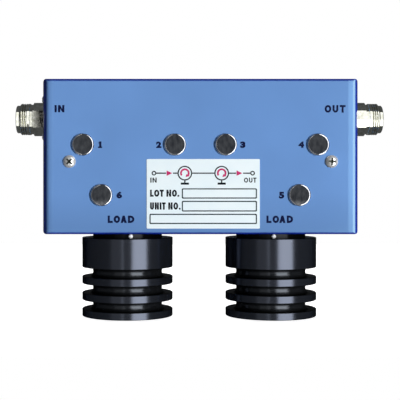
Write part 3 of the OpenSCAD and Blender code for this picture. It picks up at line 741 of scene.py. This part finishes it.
def turning_arrows():
    """A three-quarter turn with a head in each junction, and a head in the lines before and after."""
    outlines = []
    for x in JUNCTION_X:
        outer = arc(x, DIAGRAM_Z, TURN_R, TURN_R, TURN_START, TURN_END)
        inner = arc(x, DIAGRAM_Z, TURN_INNER_R, TURN_INNER_R, TURN_END, TURN_START)
        outlines.append(outer + inner)
        head = []
        for radius, degrees in TURN_HEAD:
            angle = math.radians(degrees)
            head.append((x + radius * math.cos(angle), DIAGRAM_Z + radius * math.sin(angle)))
        outlines.append(head)
    outlines += [arrow_head(x, DIAGRAM_Z) for x in ARROW_X]
    return outlines


def port_names():
    """IN and OUT below the diagram's ends."""
    name_in = [("I", -24.6, -24.0), ("N", -23.5, -21.5)]
    name_out = [("O", 21.2, 23.2), ("U", 23.65, 25.35), ("T", 25.7, 27.3)]
    return drawn_word(name_in, PORT_LOW, PORT_HIGH, 0.55) + drawn_word(name_out, PORT_LOW, PORT_HIGH, 0.5)


def captions():
    """Captions of the upper and the middle field."""
    lot = [("L", -24.7, -23.0), ("O", -22.7, -20.2), ("T", -20.0, -18.0)]
    lot_no = [("N", -16.7, -14.4), ("O", -14.0, -11.6), (".", -11.3, -10.5)]
    unit = [("U", -24.7, -22.8), ("N", -22.4, -20.4), ("I", -20.0, -19.15), ("T", -18.85, -17.1)]
    unit_no = [("N", -15.8, -13.7), ("O", -13.3, -11.0), (".", -10.6, -9.8)]
    stroke = 0.85
    upper = drawn_word(lot + lot_no, 18.4, 21.8, stroke)
    middle = drawn_word(unit + unit_no, 12.1, 15.6, stroke)
    return upper + middle


def make_label():
    left, right = label_low.x / MM, label_high.x / MM
    bottom, top = (label_low.z - FLOOR_Z) / MM, (label_high.z - FLOOR_Z) / MM
    outline = rounded_rectangle(left, bottom, right, top, FILM_CORNER)
    film = stand_up(flat_solid("label_film", [outline], FILM_T), FRONT_Y)
    add_piece("label_film", film, FINISHES["white_label"], ["rating_label"])
    prints = [
        ("label_fields", field_frames(), GREY_INK),
        ("label_diagram", diagram_lines(), BLACK_INK),
        ("label_ports", port_names(), BLACK_INK),
        ("label_arrows", turning_arrows(), RED_INK),
        ("label_captions", captions(), BLACK_INK)]
    for name, outlines, material in prints:
        mesh = flat_solid(name, outlines, INK_THICKNESS)
        add_piece(name, stand_up(mesh, FRONT_Y - FILM_T), material)


make_label()


# Jack shells: turned, with a real thread

THREAD_PITCH = 25.4 * MM / 24
THREAD_DEPTH = 0.6 * MM
THREAD_SEGMENTS = 96
RINGS_PER_PITCH = 16
JACK_LENGTH = 19.05 * MM
FLANGE_T = 1.6 * MM
FLANGE_HALF = 12.7 * MM
FLANGE_HOLE_PITCH = 18.26 * MM
FLANGE_HOLE_R = 1.33 * MM
FLANGE_CORNER = 1.5 * MM
BARREL_R = 8.47 * MM
CREST_R = 7.94 * MM
NECK_R = 7.55 * MM
PILOT_R = 7 * MM
PILOT_END = 1.6 * MM
NECK_START = 6.9 * MM
BARREL_START = 8.6 * MM
SOCKET_R = 4.05 * MM
SOCKET_DEPTH = 9.1 * MM
INSULATOR_R = 3.5 * MM
BOSS_R = 6.3 * MM
BOSS_LEN = 4.6 * MM
SHARP_ANGLE = math.radians(40)

# Half of the cut's width at the root and half of the crests' gap, as shares of the pitch
ROOT_SHARE, GAP_SHARE = 0.08, 0.32


def jack_profile():
    """Places along the axis, measured from the flange's back, with the plain radius at each.

    They follow the outside to the tip and then the socket. The third value is the share of the full
    thread depth that is cut there.
    """
    tip = JACK_LENGTH
    small = 0.15 * MM
    rows = [
        (-BOSS_LEN, INSULATOR_R, 0), (-BOSS_LEN, BOSS_R - small, 0), (-BOSS_LEN + small, BOSS_R, 0),
        (0, BOSS_R, 0), (0, BARREL_R, 0), (tip - BARREL_START - small, BARREL_R, 0),
        (tip - BARREL_START + small, NECK_R, 0), (tip - NECK_START - small, NECK_R, 0),
        (tip - NECK_START, CREST_R, 0)]
    first, last = tip - THREAD_END, tip - THREAD_START
    run_out = THREAD_PITCH / 2
    count = round((last - first) / THREAD_PITCH * RINGS_PER_PITCH)
    for i in range(count + 1):
        place = first + (last - first) * i / count
        from_end = min(place - first, last - place)
        rows.append((place, CREST_R, min(1, from_end / run_out)))
    rows += [
        (tip - PILOT_END, PILOT_R, 0), (tip - 2 * small, PILOT_R, 0), (tip, PILOT_R - 2 * small, 0),
        (tip, SOCKET_R + 3 * small, 0), (tip - 3 * small, SOCKET_R, 0), (tip - SOCKET_DEPTH, SOCKET_R, 0),
        (tip - SOCKET_DEPTH, INSULATOR_R, 0)]
    return rows


def thread_cut(place, turn):
    """Depth of the thread, with flat crests and roots, for a place along the axis and a turn in radians."""
    phase = (place / THREAD_PITCH - turn / (2 * math.pi)) % 1
    flank = (GAP_SHARE - abs(phase - 0.5)) / (GAP_SHARE - ROOT_SHARE)
    return THREAD_DEPTH * min(1, max(0, flank))


def turned_mesh(name):
    """The shell without its flange, along the X axis, as one closed skin."""
    profile = jack_profile()
    points, faces = [], []
    for place, radius, cut in profile:
        for k in range(THREAD_SEGMENTS):
            turn = 2 * math.pi * k / THREAD_SEGMENTS
            r = radius - (cut * thread_cut(place, turn) if cut else 0)
            points.append((place, r * math.cos(turn), r * math.sin(turn)))
    rings = len(profile)
    for i in range(rings):
        for k in range(THREAD_SEGMENTS):
            a, b = i * THREAD_SEGMENTS, (i + 1) % rings * THREAD_SEGMENTS
            after = (k + 1) % THREAD_SEGMENTS
            faces.append((a + k, a + after, b + after, b + k))
    return mesh_from(name, points, faces)


def flange_mesh():
    """The square flange with its four screw holes, across the X axis."""
    half, corner = FLANGE_HALF / MM, FLANGE_CORNER / MM
    hole_at, hole_r = FLANGE_HOLE_PITCH / 2 / MM, FLANGE_HOLE_R / MM
    outlines = [
        rounded_rectangle(-half, -half, half, half, corner),
        ellipse(0, 0, BARREL_R / MM, BARREL_R / MM)]
    for x in (-hole_at, hole_at):
        outlines += [ellipse(x, y, hole_r, hole_r) for y in (-hole_at, hole_at)]
    plate = flat_solid("flange", outlines, FLANGE_T)
    for v in plate.vertices:
        v.co = (v.co.z, v.co.x, v.co.y)
    return plate


def jack_shell(name, node, side):
    """A port's shell in place of its node, with its tip towards one side: -1 left, 1 right."""
    mesh = turned_mesh(name)
    joined = bmesh.new()
    joined.from_mesh(mesh)
    joined.from_mesh(flange_mesh())
    bmesh.ops.recalc_face_normals(joined, faces=joined.faces)
    low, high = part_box(node)
    tip_x = high.x if side > 0 else low.x
    back = Vector((tip_x - side * JACK_LENGTH, (low.y + high.y) / 2, (low.z + high.z) / 2))
    turned = Matrix.Rotation(0 if side > 0 else math.pi, 4, "Z")
    bmesh.ops.transform(joined, matrix=Matrix.Translation(back) @ turned, verts=joined.verts)
    joined.to_mesh(mesh)
    joined.free()
    mesh.shade_smooth()
    mesh.set_sharp_from_angle(angle=SHARP_ANGLE)
    add_piece(name, mesh, TURNED_NICKEL, [node])


jack_shell("in_jack_turned", "in_jack_shell", -1)
jack_shell("out_jack_turned", "out_jack_shell", 1)


# Stage: world, floor, dark surroundings, screens, lamps and camera

def light_path_mix(tree, seen, unseen):
    """Mixes two shader outputs: the first for camera, mirror and see-through rays."""
    path = tree.nodes.new("ShaderNodeLightPath")
    total = path.outputs["Is Camera Ray"]
    for ray in ("Is Glossy Ray", "Is Transmission Ray"):
        add = tree.nodes.new("ShaderNodeMath")
        add.operation = "MAXIMUM"
        tree.links.new(total, add.inputs[0])
        tree.links.new(path.outputs[ray], add.inputs[1])
        total = add.outputs[0]
    mix = tree.nodes.new("ShaderNodeMixShader")
    tree.links.new(total, mix.inputs["Fac"])
    tree.links.new(unseen, mix.inputs[1])
    tree.links.new(seen, mix.inputs[2])
    return mix.outputs[0]


def empty_tree(owner):
    """The shader nodes of a new world or material, with none in them yet."""
    owner.use_nodes = True
    owner.node_tree.nodes.clear()
    return owner.node_tree


def make_world():
    """A background that is seen as white and lights the object only a little."""
    world = bpy.data.worlds.new("studio")
    tree = empty_tree(world)
    surfaces = []
    for strength in (1, WORLD_DIFFUSE):
        background = tree.nodes.new("ShaderNodeBackground")
        background.inputs["Color"].default_value = (1, 1, 1, 1)
        background.inputs["Strength"].default_value = strength
        surfaces.append(background.outputs[0])
    out = tree.nodes.new("ShaderNodeOutputWorld")
    tree.links.new(light_path_mix(tree, *surfaces), out.inputs["Surface"])
    bpy.context.scene.world = world


def make_floor():
    """A small pale floor that the terminations stand on, white as the background."""
    size_x, front, back = 0.5, -0.12, 0.6
    points = [(-size_x, front, 0), (size_x, front, 0), (size_x, back, 0), (-size_x, back, 0)]
    floor = add_object("floor", mesh_from("floor", points, [(0, 1, 2, 3)]))
    material = bpy.data.materials.new("pale_floor")
    tree = empty_tree(material)
    matt = tree.nodes.new("ShaderNodeBsdfDiffuse")
    matt.inputs["Color"].default_value = (0.85, 0.85, 0.85, 1)
    glow = tree.nodes.new("ShaderNodeEmission")
    glow.inputs["Strength"].default_value = FLOOR_GLOW
    bright = tree.nodes.new("ShaderNodeAddShader")
    tree.links.new(matt.outputs[0], bright.inputs[0])
    tree.links.new(glow.outputs[0], bright.inputs[1])
    out = tree.nodes.new("ShaderNodeOutputMaterial")
    tree.links.new(light_path_mix(tree, bright.outputs[0], matt.outputs[0]), out.inputs["Surface"])
    paint(floor, material)
    floor.visible_glossy = False


def panel_lamp(name, span, low, high, radiance):
    """An upright lamp panel that lights matt surfaces and isn't mirrored.

    Its span to the sides and its range of heights are in degrees.
    """
    middle = math.radians((span[0] + span[1]) / 2)
    half = math.radians((span[1] - span[0]) / 2)
    bottom = LIGHT_DISTANCE * math.tan(math.radians(low))
    top = LIGHT_DISTANCE * math.tan(math.radians(high))
    data = bpy.data.lights.new(name, "AREA")
    data.shape = "RECTANGLE"
    data.size = 2 * LIGHT_DISTANCE * math.tan(half)
    data.size_y = top - bottom
    data.energy = radiance * math.pi * data.size * data.size_y
    lamp = add_object(name, data)
    away = Vector((math.sin(middle), -math.cos(middle), 0))
    lamp.location = Vector((0, 0, CAMERA_Z + (bottom + top) / 2)) + away * LIGHT_DISTANCE
    lamp.rotation_euler = (-away).to_track_quat("-Z", "Y").to_euler()
    lamp.visible_camera = False
    lamp.visible_glossy = False


def only_mirrored(obj):
    """Leaves an object to be seen in mirror-like surfaces alone."""
    obj.visible_camera = False
    obj.visible_diffuse = False
    obj.visible_shadow = False


def light_screen(name, span, low, high, radiance):
    """A glowing or black sheet bent round the jacks' axis, which only mirror-like surfaces show.

    Its span to the sides and its range of heights are in degrees.
    """
    steps = 24
    sides = [LIGHT_DISTANCE * math.tan(math.radians(angle)) for angle in span]
    points = []
    for i in range(steps + 1):
        rise = math.radians(low + (high - low) * i / steps)
        y = -LIGHT_DISTANCE * math.cos(rise)
        z = JACK_Z + LIGHT_DISTANCE * math.sin(rise)
        points += [(x, y, z) for x in sides]
    faces = [(2 * i, 2 * i + 1, 2 * i + 3, 2 * i + 2) for i in range(steps)]
    screen = add_object(name, mesh_from(name, points, faces))
    material = bpy.data.materials.new(name)
    tree = empty_tree(material)
    glow = tree.nodes.new("ShaderNodeEmission")
    glow.inputs["Strength"].default_value = radiance
    out = tree.nodes.new("ShaderNodeOutputMaterial")
    tree.links.new(glow.outputs[0], out.inputs["Surface"])
    paint(screen, material)
    only_mirrored(screen)


def make_surroundings():
    """Dark cloth all round, which only mirror-like surfaces show."""
    bm = bmesh.new()
    bmesh.ops.create_uvsphere(bm, u_segments=48, v_segments=24, radius=CLOTH_RADIUS)
    mesh = bpy.data.meshes.new("dark_cloth")
    bm.to_mesh(mesh)
    bm.free()
    cloth = add_object("dark_cloth", mesh)
    dark = Finish("dark_cloth", (0.02, 0.02, 0.022, 1), roughness=1)
    dark.shader.inputs["Emission Color"].default_value = (0.9, 0.95, 1, 1)
    dark.shader.inputs["Emission Strength"].default_value = CLOTH_GLOW
    paint(cloth, dark.material)
    only_mirrored(cloth)


def make_camera():
    """The photo's camera, whose picture is moved off centre by a shift."""
    data = bpy.data.cameras.new("camera")
    data.sensor_width = SENSOR_MM
    data.lens = FOCAL_PX / PICTURE_PX * SENSOR_MM
    data.shift_x = SHIFT_PX[0] / PICTURE_PX
    data.shift_y = SHIFT_PX[1] / PICTURE_PX
    camera = add_object("camera", data)
    camera.location = (CAMERA_X, CAMERA_Y, CAMERA_Z)
    camera.rotation_euler = (math.radians(90), 0, 0)
    bpy.context.scene.camera = camera


make_world()
make_floor()
make_surroundings()
for screen in SCREENS:
    light_screen(*screen)
for lamp in LAMPS:
    panel_lamp(*lamp)
make_camera()
bpy.context.scene.view_settings.view_transform = "Standard"
